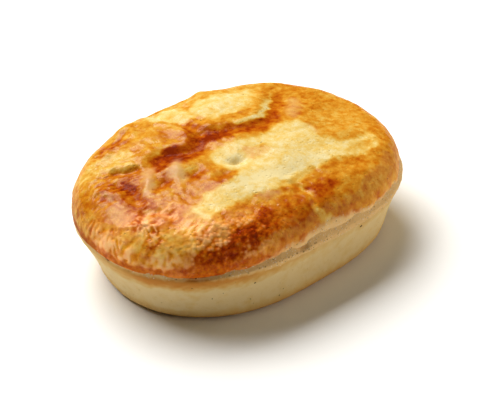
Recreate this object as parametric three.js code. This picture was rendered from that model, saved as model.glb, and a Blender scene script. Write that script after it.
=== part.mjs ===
// A small oval bacon and cheese pie: a tapered shortcrust case, closed by a puffed and glazed lid.
// Millimetres, Z up. The origin is the middle of the flat underside, and X is the long way.
import * as THREE from 'three';

// The oval of the rim
const rimLength = 125;
const rimWidth = 92.3;
const rimFullness = 2.22; // 2 is an ellipse, and more is squarer
const baseFullness = 2.16;

// Heights and thicknesses of the lid
const seamHeight = 21.75; // from the table to the joint between case and lid
const seamGap = 0.3;
const lidEdge = 1.5; // upright edge of the lid above the seam
const shoulderRise = 11.7;
const shoulderWidth = 11.2;
const crownRise = 3;
const crownReach = 48; // distance in from the rim at which the crown is highest
const edgeUndercut = 0.35; // how far the lid's lower edge is drawn in
const reliefReach = 7; // distance in from the rim at which folds have their full height

// The case below the seam
const flangeProud = 0.4; // the flange stands this far outside the lid's edge
const flangeHeight = 3.3;
const flangeStep = 0.7; // how far the wall steps in below the flange
const wallTaper = 4.3; // how far the wall leans in from the flange to the foot
const wallHollow = 0.35; // how far the wall bends in between them
const footRadius = 3.6;
const shelfWidth = 3; // how far a crack in the seam reaches in

// Hand-made unevenness: the cosine and the sine share of every wave round the pie
const lidWaves = [[0.28, 1.03], [0.16, 0.21], [-0.07, -0.8], [-0.39, -0.1]];
const flangeWaves = [[0.17, -0.64], [-0.16, -0.33], [0.56, -0.08]]; // more than the lid's
const baseWaves = [[0.78, -1.51], [-0.77, 0.55]]; // more than the flange's
const seamWaves = [[0.13, -0.25], [-0.45, 0.12]];
const shoulderWaves = [[-0.53, 1.32]];
// Crimped edge of the lid: waves round the pie and their height
const crimps = [
  { waves: 17, height: 0.16, turn: 0.4 },
  { waves: 29, height: 0.12, turn: 1.9 },
];

// Folds of the lid, where the pastry sank between two puffed flaps. The path runs along the floor
// of the fold, lipOut is measured to its left, and plan places are from the middle of the rim oval.
const folds = [
  {
    name: 'long fold under the back flap',
    path: [[-35, 6], [-30, 9.5], [-23, 12], [-17, 9], [-12, 8], [-5, 12.5], [4, 10.3], [11, 7.7],
      [17, 6.7], [22, 8.8], [27, 12.8], [32, 17.5], [37, 22], [43, 27]],
    depth: 1.1, width: 3.4, lip: 0.4, lipOut: 5, lipWidth: 2.4,
  },
  {
    name: 'notch between the two back flaps',
    path: [[-5, 12], [-4.5, 19], [-5, 26], [-6, 33], [-6.5, 42], [-6.5, 54]],
    depth: 1.9, width: 3.2, lip: 0.6, lipOut: 5, lipWidth: 2.8,
  },
  {
    name: 'crease at the left of the back flap',
    path: [[1, 19], [1.5, 29], [2.5, 40]],
    depth: 0.6, width: 1.6, lip: 0.2, lipOut: -2.6, lipWidth: 1.6,
  },
  {
    name: 'fold over the back left shoulder',
    path: [[-42, 27.5], [-34.5, 32], [-26.7, 33.4], [-21, 37]],
    depth: 1, width: 1.8, lip: 0.5, lipOut: -3.3, lipWidth: 1.8,
  },
  {
    name: 'short groove left of the long fold',
    path: [[-43.6, 17.6], [-37, 12.6], [-33, 12.3]],
    depth: 1.1, width: 1.6, lip: 0.4, lipOut: 2.8, lipWidth: 1.6,
  },
  {
    name: 'groove at the left end',
    path: [[-54.5, 10.7], [-52.3, 6], [-51.8, 1.5]],
    depth: 0.6, width: 1.5, lip: 0.3, lipOut: 2.9, lipWidth: 1.5,
  },
  {
    name: 'hollow line behind the left ridge',
    path: [[-47, 11], [-43.5, 5.5], [-44.5, -0.7], [-47, -7]],
    depth: 0.8, width: 2.8, lip: 0.3, lipOut: -4.5, lipWidth: 2.2,
  },
  {
    name: 'left front crease',
    path: [[-50, -8.5], [-43.7, -12.6], [-41, -20]],
    depth: 0.8, width: 2, lip: 0.5, lipOut: -3.4, lipWidth: 2,
  },
  {
    name: 'crease down the front shoulder',
    path: [[1, -25], [3, -31], [3.5, -36], [2, -40], [3, -45]],
    depth: 0.7, width: 1.4, lip: 0.3, lipOut: -2.6, lipWidth: 1.6,
  },
];

// Rounded swellings and hollows: place, half lengths, turn of the long way, and height
const swellings = [
  { name: 'back flap', at: [17.5, 26.5], half: [18, 11], turn: 0.15, height: 1 },
  { name: 'back left flap', at: [-21.8, 25], half: [12, 9], turn: -0.2, height: 0.9 },
  { name: 'long pale hump', at: [-1, -17], half: [40, 7], turn: 0.06, height: 0.9 },
  { name: 'right hump', at: [27, -4.4], half: [11, 9], turn: 0.6, height: 0.5 },
  { name: 'left pinched ridge', at: [-38, 2], half: [6, 2.2], turn: 0.85, height: 1.1 },
  { name: 'second pinched ridge', at: [-26, 1.8], half: [4.8, 2.4], turn: 1.1, height: 1.1 },
  { name: 'front ridge', at: [-33.4, -28.5], half: [6, 2.1], turn: 1.65, height: 0.9 },
  { name: 'front mound', at: [-24.5, -26.6], half: [5, 3.2], turn: 0, height: 0.6 },
  { name: 'front left ridge', at: [-51, -15.5], half: [6.5, 2.2], turn: -0.9, height: 0.8 },
  { name: 'hollow by the left ridge', at: [-33.4, -0.9], half: [5, 2.3], turn: 0.35, height: -1 },
  { name: 'hollow by the second ridge', at: [-22.5, -4], half: [4.4, 2.6], turn: 0.3, height: -1 },
  { name: 'hollow left of the steam hole', at: [-15, -11], half: [5, 2], turn: -0.1, height: -0.9 },
  { name: 'golden hollow', at: [41.5, -4.3], half: [11, 10], turn: 0.3, height: -0.6 },
  { name: 'basin of the steam hole', at: [-6, -5.5], half: [7.5, 4.5], turn: -0.2, height: -1 },
  { name: 'steam hole', at: [-5.8, -6.4], half: [3, 1.8], turn: -0.3, height: -1.9 },
  { name: 'broad floor of the long fold', at: [-17, 10], half: [8, 3.4], turn: -0.3, height: -0.9 },
  { name: 'dip in the back rim', at: [-4, 42], half: [11, 6], turn: 0, height: -1.4 },
  { name: 'sunken edge of the pale wedge', at: [5, 42], half: [6, 7], turn: 0, height: -2.4 },
  { name: 'rounded back left lobe', at: [-21, 41], half: [5, 6], turn: 0, height: 1.3 },
  { name: 'dip left of the lobe', at: [-31.5, 38], half: [4.5, 6], turn: 0, height: -2.2 },
  { name: 'small lip on the back flap', at: [15, 41.5], half: [2.8, 3], turn: 0, height: 1.1 },
  { name: 'dip right of that lip', at: [26.5, 38.5], half: [4.5, 5], turn: 0, height: -0.9 },
  { name: 'dark pool at the front', at: [-24, -37], half: [15, 4], turn: -0.05, height: -0.5 },
];

// Broad unevenness of the lid: wave length, height, direction and start of each ripple
const ripples = [
  { length: 23, height: 0.2, turn: 0.5, start: 0.3 },
  { length: 17, height: 0.14, turn: 2.2, start: 1.7 },
  { length: 11, height: 0.08, turn: 1.3, start: 4.1 },
];

// Share of a fold's path over which it rises at its start, and over which it dies away at its end
const foldStart = 0.12;
const foldEnd = 0.2;

// Section of the flange: distance out from its outline, and share of its height
const flangeSection = [
  { out: -0.12, up: 0.3 },
  { out: 0.05, up: 0.6 },
  { out: -0.05, up: 0.86 },
  { out: -0.45, up: 1 },
];
// Open cracks along the seam: place round the rim in turns, half length and depth
const seamCracks = [
  { at: 0.725, half: 5.2, depth: 1 },
  { at: 0.602, half: 5, depth: 0.45 },
  { at: 0.517, half: 2, depth: 0.5 },
];

// Fineness of the two solids
const lidRings = 34;
const ringCrowding = 0.1; // how much closer the rings lie at the steep shoulder
const sideTurns = [0, 0.2, 0.42]; // how far round the shoulder the lid's side rings lie
const caseSpokes = 132;
const footShares = [1, 0.66, 0.33, 0]; // of the quarter turn from the table up to the wall
const wallShares = [0.2, 0.4, 0.6, 0.8, 1];
const foldSteps = 48;

// Finish of the bare pastry and of the glazed lid
const caseFinish = { color: 0xd8bd88, roughness: 0.8, metalness: 0 };
const lidFinish = { color: 0xcf8f3e, roughness: 0.42, metalness: 0 };

const fullTurn = 2 * Math.PI;

function smoothStep(value, from, to) {
  const share = Math.min(Math.max((value - from) / (to - from), 0), 1);
  return share * share * (3 - 2 * share);
}

function bell(value) {
  return Math.exp(-value * value);
}

// Point of a superellipse in the direction of an angle
function ovalPoint(angle, halfLength, halfWidth, fullness) {
  const across = Math.abs(Math.cos(angle) / halfLength) ** fullness;
  const along = Math.abs(Math.sin(angle) / halfWidth) ** fullness;
  const radius = (across + along) ** (-1 / fullness);
  return new THREE.Vector2(radius * Math.cos(angle), radius * Math.sin(angle));
}

// Outward direction of a closed outline at one of its points
function outwardAt(outline, index) {
  const next = outline[(index + 1) % outline.length];
  const last = outline[(index + outline.length - 1) % outline.length];
  return new THREE.Vector2(next.y - last.y, last.x - next.x).normalize();
}

function offsetOutline(outline, distanceAt) {
  return outline.map((point, index) => {
    const outward = outwardAt(outline, index);
    return point.clone().addScaledVector(outward, distanceAt(index));
  });
}

// Height of a set of slow waves at an angle round the pie
function waveAt(waves, angle) {
  return waves.reduce((sum, [cosine, sine], order) => {
    const turned = (order + 1) * angle;
    return sum + cosine * Math.cos(turned) + sine * Math.sin(turned);
  }, 0);
}

// An oval outline that carries the slow waves of a hand-made rim
function unevenOval(spokes, inset, fullness, waveSets) {
  const oval = [];
  for (let spoke = 0; spoke < spokes; spoke += 1) {
    const angle = (spoke / spokes) * fullTurn;
    oval.push(ovalPoint(angle, rimLength / 2 - inset, rimWidth / 2 - inset, fullness));
  }
  return offsetOutline(oval, (index) => {
    const angle = (index / spokes) * fullTurn;
    return waveSets.reduce((sum, waves) => sum + waveAt(waves, angle), 0);
  });
}

// Height of the seam at an angle; the share is 1 at the rim and 0 in the middle
function seamAt(angle, share) {
  return seamHeight + share * waveAt(seamWaves, angle);
}

// A solid is built up from points, rings of points and the triangles between them
function emptySolid() {
  return { points: [], faces: [] };
}

function addRing(solid, outline, heightAt) {
  const first = solid.points.length;
  outline.forEach((point, index) => {
    solid.points.push(point.x, point.y, heightAt(index));
  });
  return { first: first / 3, count: outline.length };
}

// Side wall between two rings with as many points, the second one above the first
function joinRings(solid, lower, upper) {
  for (let index = 0; index < lower.count; index += 1) {
    const next = (index + 1) % lower.count;
    solid.faces.push(lower.first + index, lower.first + next, upper.first + next);
    solid.faces.push(lower.first + index, upper.first + next, upper.first + index);
  }
}

// Flat cap inside a ring, facing up or down
function addCap(solid, ring, height, facesUp) {
  const middle = solid.points.length / 3;
  solid.points.push(0, 0, height);
  for (let index = 0; index < ring.count; index += 1) {
    const next = (index + 1) % ring.count;
    const here = ring.first + index;
    const there = ring.first + next;
    solid.faces.push(middle, facesUp ? here : there, facesUp ? there : here);
  }
}

function toMesh(solid, name, finish) {
  const geometry = new THREE.BufferGeometry();
  geometry.setAttribute('position', new THREE.Float32BufferAttribute(solid.points, 3));
  geometry.setIndex(solid.faces);
  geometry.computeVertexNormals();
  const mesh = new THREE.Mesh(geometry, new THREE.MeshStandardMaterial(finish));
  mesh.name = name;
  return mesh;
}

// Floor line of a fold as short straight steps, with how far along each one lies
function foldLine(fold) {
  const knots = fold.path.map(([x, y]) => new THREE.Vector3(x, y, 0));
  return new THREE.CatmullRomCurve3(knots).getPoints(foldSteps);
}

// Distance to the left of a fold line, and the place along it from 0 to 1
function placeOnFold(line, x, y) {
  const here = new THREE.Vector3(x, y, 0);
  const nearest = { distance: Infinity, side: 1, along: 0 };
  for (let step = 0; step < line.length - 1; step += 1) {
    const segment = new THREE.Line3(line[step], line[step + 1]);
    const share = segment.closestPointToPointParameter(here, true);
    const foot = segment.at(share, new THREE.Vector3());
    const distance = foot.distanceTo(here);
    if (distance < nearest.distance) {
      const run = segment.delta(new THREE.Vector3());
      nearest.distance = distance;
      nearest.side = Math.sign(run.x * (y - foot.y) - run.y * (x - foot.x)) || 1;
      nearest.along = (step + share) / (line.length - 1);
    }
  }
  return nearest;
}

// Height that a fold adds: its sunken floor, and the lip of the flap beside it
function foldHeight(fold, line, x, y) {
  const { distance, side, along } = placeOnFold(line, x, y);
  const ends = smoothStep(along, 0, foldStart) * smoothStep(1 - along, 0, foldEnd);
  const floor = -fold.depth * bell(distance / fold.width);
  const lip = fold.lip * bell((distance * side - fold.lipOut) / fold.lipWidth);
  return ends * (floor + lip);
}

function swellingHeight({ at, half, turn, height }, x, y) {
  const along = (x - at[0]) * Math.cos(turn) + (y - at[1]) * Math.sin(turn);
  const across = (y - at[1]) * Math.cos(turn) - (x - at[0]) * Math.sin(turn);
  return height * bell(Math.hypot(along / half[0], across / half[1]));
}

function rippleHeight({ length, height, turn, start }, x, y) {
  const along = x * Math.cos(turn) + y * Math.sin(turn);
  return height * Math.sin((along / length) * fullTurn + start);
}

const foldLines = folds.map(foldLine);

// Relief of the lid above its smooth form
function reliefAt(x, y) {
  const creased = folds.reduce((sum, fold, index) => sum + foldHeight(fold, foldLines[index], x, y), 0);
  const swollen = swellings.reduce((sum, swelling) => sum + swellingHeight(swelling, x, y), 0);
  const rippled = ripples.reduce((sum, ripple) => sum + rippleHeight(ripple, x, y), 0);
  return creased + swollen + rippled;
}

// Rounded shoulder, then a low crown, by the distance in from the rim
function smoothRise(inward, fullRise) {
  const round = Math.min(inward / shoulderWidth, 1);
  const shoulder = fullRise * Math.sqrt(1 - (1 - round) ** 2);
  const share = Math.min(Math.max((inward - shoulderWidth) / (crownReach - shoulderWidth), 0), 1);
  return shoulder + crownRise * Math.sin((share * Math.PI) / 2);
}

// How far a point of the shoulder lies in from the rim, by its turn round the shoulder
function shoulderInset(turn) {
  return shoulderWidth * (1 - Math.cos(turn));
}

// Height of the lid at a share of the way from its middle to its rim
function lidHeight(x, y, angle, share, inward) {
  const fullRise = shoulderRise + share * waveAt(shoulderWaves, angle);
  const smooth = seamAt(angle, share) + seamGap / 2 + lidEdge + smoothRise(inward, fullRise);
  const innermostSide = shoulderInset(sideTurns[sideTurns.length - 1]);
  return smooth + reliefAt(x, y) * smoothStep(inward, innermostSide, reliefReach);
}

// Underside and upright side of the lid, which ends in the ring that the top starts from
function addLidSide(solid, edge) {
  const angleOf = (index) => (index / edge.length) * fullTurn;
  const undersideAt = (index) => seamAt(angleOf(index), 1) + seamGap / 2;
  const crimpAt = (index) => crimps.reduce((sum, { waves, height, turn }) => {
    return sum + height * Math.sin(waves * angleOf(index) + turn);
  }, 0);

  const rings = [addRing(solid, offsetOutline(edge, () => -edgeUndercut), undersideAt)];
  addCap(solid, rings[0], seamHeight + seamGap / 2, false);
  sideTurns.forEach((turn, step) => {
    const outline = offsetOutline(edge, (index) => crimpAt(index) * (1 - turn) - shoulderInset(turn));
    rings.push(addRing(solid, outline, (index) => {
      const fullRise = shoulderRise + waveAt(shoulderWaves, angleOf(index));
      return undersideAt(index) + lidEdge + fullRise * Math.sin(turn);
    }));
    joinRings(solid, rings[step], rings[step + 1]);
  });
  return rings[rings.length - 1];
}

// Points of the top, where ring k has 6k of them, so that they don't crowd in the middle
function addTopPoints(solid, edge) {
  const inset = shoulderInset(sideTurns[sideTurns.length - 1]);
  const outline = offsetOutline(edge, () => -inset);
  const firstOf = [];
  for (let ring = 0; ring < lidRings; ring += 1) {
    firstOf.push(solid.points.length / 3);
    const share = ring / lidRings;
    const reach = share + ringCrowding * Math.sin(share * Math.PI);
    const count = Math.max(6 * ring, 1);
    for (let index = 0; index < count; index += 1) {
      const place = (index / count) * outline.length;
      const low = outline[Math.floor(place) % outline.length];
      const high = outline[Math.ceil(place) % outline.length];
      const rim = low.clone().lerp(high, place % 1);
      const outward = outwardAt(outline, Math.round(place) % outline.length);
      const inward = inset + (1 - reach) * rim.dot(outward);
      const x = rim.x * reach;
      const y = rim.y * reach;
      const angle = (index / count) * fullTurn;
      solid.points.push(x, y, lidHeight(x, y, angle, reach, inward));
    }
  }
  return firstOf;
}

// Triangles of the top, in six sectors that each gain one triangle pair from ring to ring
function addTopFaces(solid, firstOf) {
  for (let ring = 0; ring < lidRings; ring += 1) {
    const innerCount = Math.max(6 * ring, 1);
    const outerCount = 6 * (ring + 1);
    const innerAt = (index) => firstOf[ring] + (index % innerCount);
    const outerAt = (index) => firstOf[ring + 1] + (index % outerCount);
    for (let sector = 0; sector < 6; sector += 1) {
      for (let step = 0; step <= ring; step += 1) {
        const inner = sector * ring + step;
        const beyond = sector * (ring + 1) + step;
        solid.faces.push(innerAt(inner), outerAt(beyond), outerAt(beyond + 1));
        if (step < ring) {
          solid.faces.push(innerAt(inner), outerAt(beyond + 1), innerAt(inner + 1));
        }
      }
    }
  }
}

function makeLid() {
  const solid = emptySolid();
  const edge = unevenOval(6 * lidRings, 0, rimFullness, [lidWaves]);
  const sideRing = addLidSide(solid, edge);
  const firstOf = addTopPoints(solid, edge);
  addTopFaces(solid, [...firstOf, sideRing.first]);
  return toMesh(solid, 'pastry_lid', lidFinish);
}

// How far the top of the flange drops at a crack in the seam
function crackDepth(angle) {
  const meanRadius = (rimLength + rimWidth) / 4;
  return seamCracks.reduce((sum, { at, half, depth }) => {
    const turnsApart = ((angle / fullTurn - at + 1.5) % 1) - 0.5;
    return sum + depth * bell((turnsApart * fullTurn * meanRadius) / half);
  }, 0);
}

// The case: flat underside, rounded foot, leaning wall, and a flange under the lid
function makeCase() {
  const solid = emptySolid();
  const angleOf = (index) => (index / caseSpokes) * fullTurn;
  const topAt = (index) => seamAt(angleOf(index), 1) - seamGap / 2;
  const rim = unevenOval(caseSpokes, -flangeProud, rimFullness, [lidWaves, flangeWaves]);
  const baseInset = flangeStep + wallTaper - flangeProud;
  const base = unevenOval(caseSpokes, baseInset, baseFullness, [lidWaves, flangeWaves, baseWaves]);
  const rings = [];

  for (const share of footShares) {
    const turn = share * (Math.PI / 2);
    const outline = offsetOutline(base, () => -footRadius * (1 - Math.cos(turn)));
    rings.push(addRing(solid, outline, () => footRadius * (1 - Math.sin(turn))));
  }
  const wallTop = offsetOutline(rim, () => -flangeStep);
  for (const share of wallShares) {
    const leaning = base.map((point, index) => point.clone().lerp(wallTop[index], share));
    const outline = offsetOutline(leaning, () => -wallHollow * Math.sin(share * Math.PI));
    const heightAt = (index) => footRadius + (topAt(index) - flangeHeight - footRadius) * share;
    rings.push(addRing(solid, outline, heightAt));
  }
  for (const { out, up } of flangeSection) {
    const crackAt = (index) => crackDepth(angleOf(index));
    const outline = offsetOutline(rim, (index) => out - 0.5 * crackAt(index) * smoothStep(up, 0.6, 1));
    rings.push(addRing(solid, outline, (index) => {
      return topAt(index) - flangeHeight * (1 - up) - crackAt(index) * smoothStep(up, 0.3, 0.86);
    }));
  }
  const shelf = offsetOutline(rim, () => -shelfWidth);
  rings.push(addRing(solid, shelf, topAt));

  for (let ring = 0; ring < rings.length - 1; ring += 1) {
    joinRings(solid, rings[ring], rings[ring + 1]);
  }
  addCap(solid, rings[0], 0, false);
  addCap(solid, rings[rings.length - 1], seamHeight - seamGap / 2, true);
  return toMesh(solid, 'pastry_case', caseFinish);
}

const pie = new THREE.Group();
pie.add(makeCase(), makeLid());
// The middle of the whole outline is brought over the origin
const middle = new THREE.Box3().setFromObject(pie).getCenter(new THREE.Vector3());
pie.position.set(-middle.x, -middle.y, 0);

export default pie;
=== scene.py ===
import math

import bpy
import numpy as np
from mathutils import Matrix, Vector, noise


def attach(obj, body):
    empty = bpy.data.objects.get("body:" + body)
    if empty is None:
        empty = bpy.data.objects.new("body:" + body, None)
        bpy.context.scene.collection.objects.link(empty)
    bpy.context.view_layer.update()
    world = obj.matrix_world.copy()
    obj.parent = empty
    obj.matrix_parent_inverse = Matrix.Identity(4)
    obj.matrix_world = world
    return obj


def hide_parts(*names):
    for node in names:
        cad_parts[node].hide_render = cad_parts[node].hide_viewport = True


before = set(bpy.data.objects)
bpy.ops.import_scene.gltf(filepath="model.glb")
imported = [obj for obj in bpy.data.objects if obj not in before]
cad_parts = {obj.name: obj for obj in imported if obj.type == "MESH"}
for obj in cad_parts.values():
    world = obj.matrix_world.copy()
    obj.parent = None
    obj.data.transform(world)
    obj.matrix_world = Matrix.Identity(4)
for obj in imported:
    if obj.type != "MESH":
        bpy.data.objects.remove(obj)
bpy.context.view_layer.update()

mm = 0.001
fullTurn = 2 * math.pi
print("frame loaded:", ", ".join(sorted(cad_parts)))


# ---- small helpers for shapes, all in millimetres until a mesh is made

def smoothStep(value, start, end):
    share = np.clip((np.asarray(value, float) - start) / (end - start), 0, 1)
    return share * share * (3 - 2 * share)


def bell(value):
    return np.exp(-np.square(value))


def mixed(low, high, share):
    return low + (high - low) * share


def waveAt(waves, angle):
    total = np.zeros_like(angle)
    for order, (cosine, sine) in enumerate(waves, 1):
        total += cosine * np.cos(order * angle) + sine * np.sin(order * angle)
    return total


def outwardOf(outline):
    run = np.roll(outline, -1, 0) - np.roll(outline, 1, 0)
    outward = np.column_stack([run[:, 1], -run[:, 0]])
    return outward / np.linalg.norm(outward, axis=1)[:, None]


def offsetOutline(outline, distance):
    return outline + outwardOf(outline) * np.broadcast_to(distance, len(outline))[:, None]


def unevenOval(spokes, inset, fullness, waveSets):
    angle = np.arange(spokes) / spokes * fullTurn
    halfLength, halfWidth = pie["length"] / 2 - inset, pie["width"] / 2 - inset
    across = np.abs(np.cos(angle) / halfLength) ** fullness
    along = np.abs(np.sin(angle) / halfWidth) ** fullness
    radius = (across + along) ** (-1 / fullness)
    oval = np.column_stack([radius * np.cos(angle), radius * np.sin(angle)])
    return offsetOutline(oval, sum(waveAt(waves, angle) for waves in waveSets))


def curveThrough(knots, steps, closed=False):
    # centripetal curve through the knots, whose first two columns are the place
    knots = np.asarray(knots, float)
    if closed:
        padded = np.vstack([knots[-1:], knots, knots[:2]])
    else:
        padded = np.vstack([2 * knots[0] - knots[1], knots, 2 * knots[-1] - knots[-2]])
    spans = len(padded) - 3
    place = np.linspace(0, spans, steps + 1)
    span = np.minimum(place.astype(int), spans - 1)
    share = (place - span)[:, None]
    p = [padded[span + k] for k in range(4)]
    gap = [np.sqrt(np.linalg.norm((p[k + 1] - p[k])[:, :2], axis=1))[:, None] + 1e-4 for k in range(3)]
    startRun = (p[1] - p[0]) / gap[0] - (p[2] - p[0]) / (gap[0] + gap[1]) + (p[2] - p[1]) / gap[1]
    endRun = (p[2] - p[1]) / gap[1] - (p[3] - p[1]) / (gap[1] + gap[2]) + (p[3] - p[2]) / gap[2]
    startRun, endRun = startRun * gap[1], endRun * gap[1]
    return (p[1] + startRun * share + (3 * (p[2] - p[1]) - 2 * startRun - endRun) * share ** 2
            + (2 * (p[1] - p[2]) + startRun + endRun) * share ** 3)


def nearestOnLine(line, x, y):
    # distance to a polyline, the side of it, and the place along it from 0 to 1
    best = np.full(x.shape, 1e9)
    side = np.ones(x.shape)
    along = np.zeros(x.shape)
    for step in range(len(line) - 1):
        a, b = line[step, :2], line[step + 1, :2]
        run = b - a
        share = np.clip(((x - a[0]) * run[0] + (y - a[1]) * run[1]) / (run @ run + 1e-12), 0, 1)
        dx, dy = x - a[0] - share * run[0], y - a[1] - share * run[1]
        distance = np.hypot(dx, dy)
        nearer = distance < best
        best = np.where(nearer, distance, best)
        side = np.where(nearer, np.where(run[0] * dy - run[1] * dx < 0, -1, 1), side)
        along = np.where(nearer, (step + share) / (len(line) - 1), along)
    return best, side, along


def insideOf(line, x, y):
    # distance to a closed line, positive inside it
    distance, _, _ = nearestOnLine(line, x, y)
    inside = np.zeros(x.shape, bool)
    for a, b in zip(line[:-1], line[1:]):
        if a[1] == b[1]:
            continue
        crosses = (a[1] > y) != (b[1] > y)
        inside ^= crosses & (x < (b[0] - a[0]) * (y - a[1]) / (b[1] - a[1]) + a[0])
    return np.where(inside, distance, -distance)


def noiseAt(x, y, z, size, seed):
    # smooth noise from about -1 to 1, whose lumps are about as large as size
    shift, gain = 17.3 * seed, 1.6
    return gain * np.array([
        noise.noise(Vector((a / size + shift, b / size - shift, c / size + 0.7 * shift)))
        for a, b, c in zip(x, y, z)
    ])


def noiseSum(parts, x, y, z):
    # parts are strength, size and seed
    return sum(strength * noiseAt(x, y, z, size, seed) for strength, size, seed in parts)


def turnsAt(x, y):
    return (np.arctan2(y, x) / fullTurn) % 1


def byTurns(knots, turned):
    # a value given at places round the rim, in turns
    return np.interp(turned, *np.array(knots).T)


def quadRing(low, high, count):
    # quads between two closed rows, given by their first points
    return [(low + a, low + (a + 1) % count, high + (a + 1) % count, high + a) for a in range(count)]


def fanRing(tip, row, count, down):
    pairs = [(row + a, row + (a + 1) % count) for a in range(count)]
    return [(tip, b, a) if down else (tip, a, b) for a, b in pairs]


def vectorsOf(items, key):
    flat = np.empty(3 * len(items), np.float32)
    items.foreach_get(key, flat)
    return flat.reshape(-1, 3)


def newObject(name, data):
    thing = bpy.data.objects.new(name, data)
    bpy.context.scene.collection.objects.link(thing)
    return thing


def meshPiece(name, points, faces, attributes=None):
    mesh = bpy.data.meshes.new(name)
    mesh.from_pydata((points * mm).tolist(), [], faces)
    mesh.validate()
    for key, values in (attributes or {}).items():
        layer = mesh.attributes.new(key, "FLOAT", "POINT")
        layer.data.foreach_set("value", np.asarray(values, np.float32))
    mesh.shade_smooth()
    return newObject(name, mesh)


def swell(piece, points, heights):
    # moves every point of a piece along its normal
    moved = points + vectorsOf(piece.data.vertex_normals, "vector") * np.asarray(heights)[:, None]
    piece.data.vertices.foreach_set("co", (moved * mm).astype(np.float32).ravel())
    piece.data.update()


# ---- the pie's own measures, which the solids share

pie = {
    "length": 125.0,
    "width": 92.3,
    "rimFullness": 2.22,
    "baseFullness": 2.16,
    "seamHeight": 21.75,
    "lidEdge": 1.5,
    "shoulderRise": 11.7,
    "shoulderWidth": 11.2,
    "crownRise": 3.0,
    "crownReach": 48.0,
    "reliefReach": 7.0,
    "pieceGap": 0.05, "solidGap": 0.15,  # half the gap at the seam, in the pieces and the solids
    "middle": (0.8092, 1.3032),  # middle of the whole outline, brought over the origin
    # waves round the outlines and the seam: cosine and sine in millimetres, for one wave, two waves and so on
    "lidWaves": [(0.28, 1.03), (0.16, 0.21), (-0.07, -0.8), (-0.39, -0.1)],
    "flangeWaves": [(0.17, -0.64), (-0.16, -0.33), (0.56, -0.08)],
    "baseWaves": [(0.78, -1.51), (-0.77, 0.55)],
    "seamWaves": [(0.13, -0.25), (-0.45, 0.12)],
    "shoulderWaves": [(-0.53, 1.32)],
}


def seamAt(angle, share):
    return pie["seamHeight"] + share * waveAt(pie["seamWaves"], angle)


# ---- folds and swellings of the lid; places are from the middle of the rim oval

folds = [
    # path along the floor; depth and width; lip height, how far left of the path, and lip width
    ([(-35, 6), (-30, 9.5), (-23, 12), (-17, 9), (-12, 8), (-5, 12.5), (4, 10.3), (11, 7.7),
      (17, 6.7), (22, 8.8), (27, 12.8), (32, 17.5), (37, 22), (43, 27)], 1.1, 3.4, 0.4, 5.0, 2.4),
    ([(-5, 12), (-4.5, 19), (-5, 26), (-6, 33), (-6.5, 42), (-6.5, 54)], 1.9, 3.2, 0.6, 5.0, 2.8),
    ([(1, 19), (1.5, 29), (2.5, 40)], 0.6, 1.6, 0.2, -2.6, 1.6),
    ([(-42, 27.5), (-34.5, 32), (-26.7, 33.4), (-21, 37)], 1.0, 1.8, 0.5, -3.3, 1.8),
    ([(-43.6, 17.6), (-37, 12.6), (-33, 12.3)], 1.1, 1.6, 0.4, 2.8, 1.6),
    ([(-54.5, 10.7), (-52.3, 6), (-51.8, 1.5)], 0.6, 1.5, 0.3, 2.9, 1.5),
    ([(-47, 11), (-43.5, 5.5), (-44.5, -0.7), (-47, -7)], 0.8, 2.8, 0.3, -4.5, 2.2),
    ([(-50, -8.5), (-43.7, -12.6), (-41, -20)], 0.8, 2.0, 0.5, -3.4, 2.0),
    ([(1, -25), (3, -31), (3.5, -36), (2, -40), (3, -45)], 0.7, 1.4, 0.3, -2.6, 1.6),
]
swellings = [
    # place, half lengths, turn of the long way, height
    ((17.5, 26.5), (18, 11), 0.15, 1.0),  # back flap
    ((-21.8, 25), (12, 9), -0.2, 0.9),  # back left flap
    ((-1, -17), (40, 7), 0.06, 0.9),  # long pale hump
    ((27, -4.4), (11, 9), 0.6, 0.5),
    ((-38, 2), (6, 2.2), 0.85, 1.1),  # left pinched ridge
    ((-26, 1.8), (4.8, 2.4), 1.1, 1.1),  # second pinched ridge
    ((-33.4, -28.5), (6, 2.1), 1.65, 0.9),  # front ridge
    ((-24.5, -26.6), (5, 3.2), 0.0, 0.6),
    ((-51, -15.5), (6.5, 2.2), -0.9, 0.8),
    ((-33.4, -0.9), (5, 2.3), 0.35, -1.0),
    ((-22.5, -4), (4.4, 2.6), 0.3, -1.0),
    ((-15, -11), (5, 2), -0.1, -0.9),
    ((41.5, -4.3), (11, 10), 0.3, -0.6),  # golden hollow
    ((-6, -5.5), (7.5, 4.5), -0.2, -1.0),  # basin of the steam hole
    ((-5.8, -6.4), (3, 1.8), -0.3, -1.9),  # steam hole
    ((-17, 10), (8, 3.4), -0.3, -0.9),  # broad floor of the long fold
    ((-4, 42), (11, 6), 0.0, -1.4),
    ((5, 42), (6, 7), 0.0, -2.4),
    ((-21, 41), (5, 6), 0.0, 1.3),  # rounded back left lobe
    ((-31.5, 38), (4.5, 6), 0.0, -2.2),
    ((15, 41.5), (2.8, 3), 0.0, 1.1),
    ((26.5, 38.5), (4.5, 5), 0.0, -0.9),
    ((-24, -37), (15, 4), -0.05, -0.5),  # dark pool at the front
]
ripples = [(23, 0.2, 0.5, 0.3), (17, 0.14, 2.2, 1.7), (11, 0.08, 1.3, 4.1)]


def foldHeight(fold, x, y):
    path, depth, width, lip, lipOut, lipWidth = fold
    distance, side, along = nearestOnLine(curveThrough(path, 48), x, y)
    ends = smoothStep(along, 0, 0.12) * smoothStep(1 - along, 0, 0.2)
    return ends * (lip * bell((distance * side - lipOut) / lipWidth) - depth * bell(distance / width))


def ellipseAt(at, half, turn, x, y):
    along = (x - at[0]) * math.cos(turn) + (y - at[1]) * math.sin(turn)
    across = (y - at[1]) * math.cos(turn) - (x - at[0]) * math.sin(turn)
    return np.hypot(along / half[0], across / half[1])


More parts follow.
